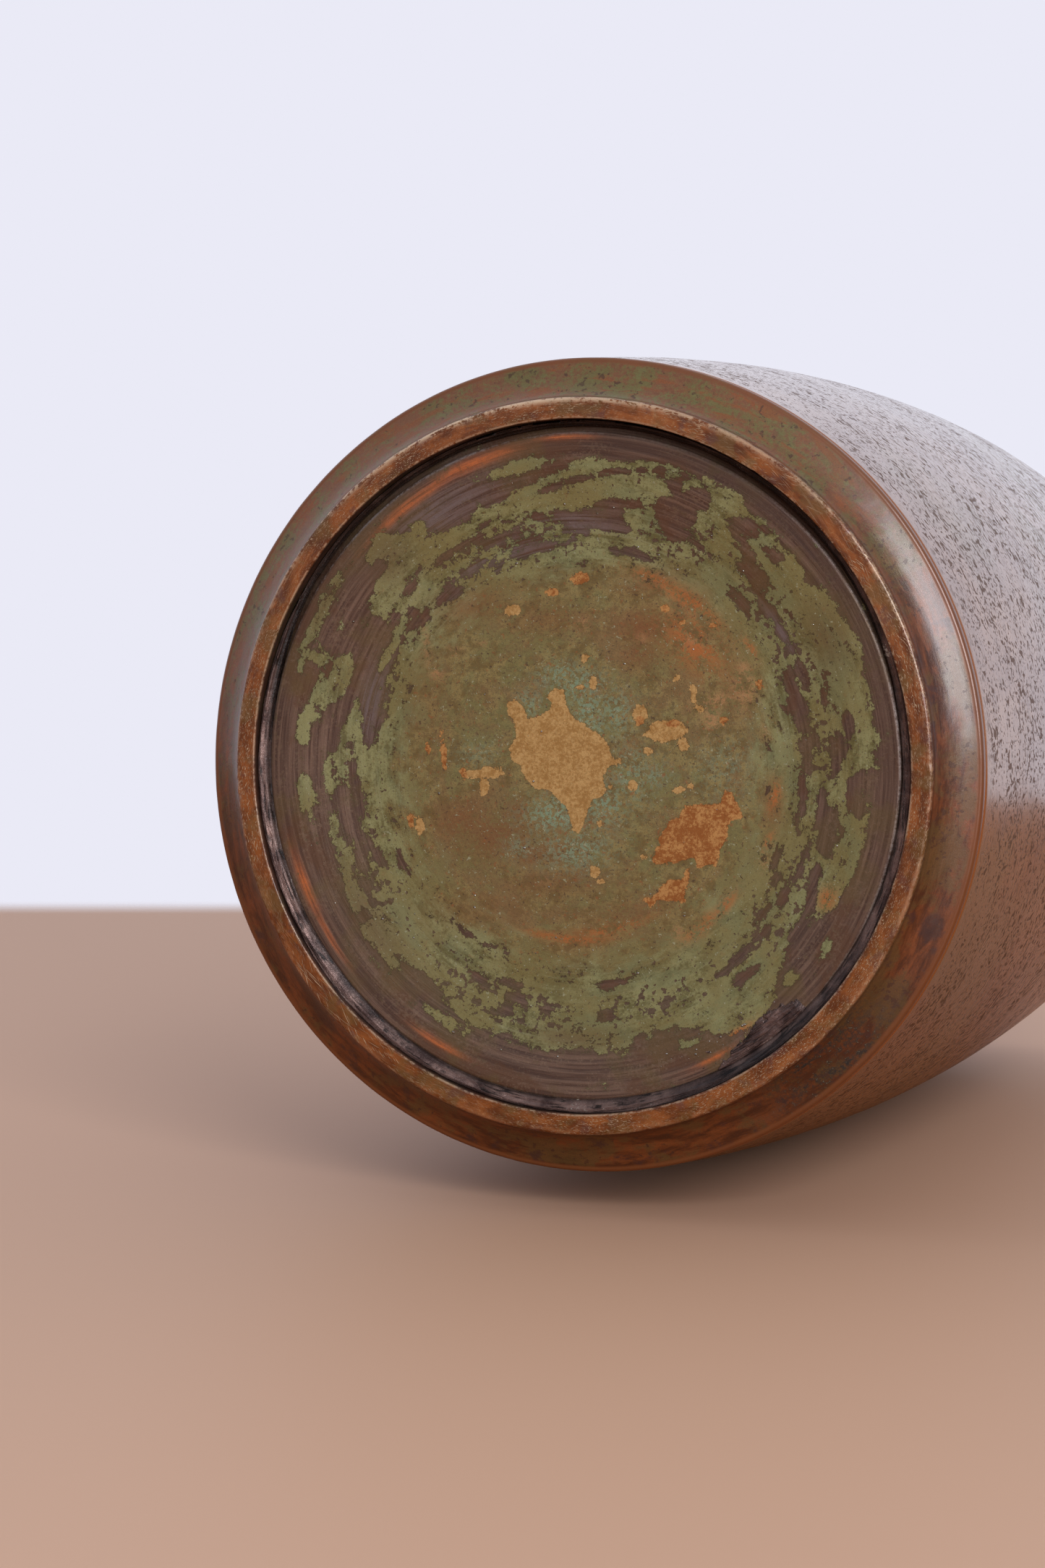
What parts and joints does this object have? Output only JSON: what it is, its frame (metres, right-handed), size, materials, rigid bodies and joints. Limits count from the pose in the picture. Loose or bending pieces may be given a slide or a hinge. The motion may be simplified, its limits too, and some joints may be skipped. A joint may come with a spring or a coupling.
{
  "type": "hammered copper vessel",
  "caption": "Deep barrel-shaped hammered copper vessel on a turned foot ring, with a dished base disc soldered into the foot and a turned ring at its open mouth.",
  "frame": {"origin": "centre of the foot ring's flat resting face", "axes": "+Z along the vessel's axis from the foot up to the mouth; X and Y are across it, and the vessel is round but for a run of solder under the base"},
  "size_m": [0.1182, 0.1182, 0.1947],
  "materials": {
    "hammered_copper": "polished brown bronze with dark flecks",
    "turned_copper": "satin red-brown with worn bright edges",
    "patinated_disc": "matt green patina over dark oxide",
    "solder": "dark grey, smooth and lumpy",
    "braze": "satin"
  },
  "bodies": {
    "root": {"body_shell": "hammered_copper", "foot_ring": "turned_copper", "base_disc": "patinated_disc", "base_solder": "solder", "foot_braze": "braze", "mouth_ring": "turned_copper", "mouth_braze": "braze"}
  },
  "joints": []
}
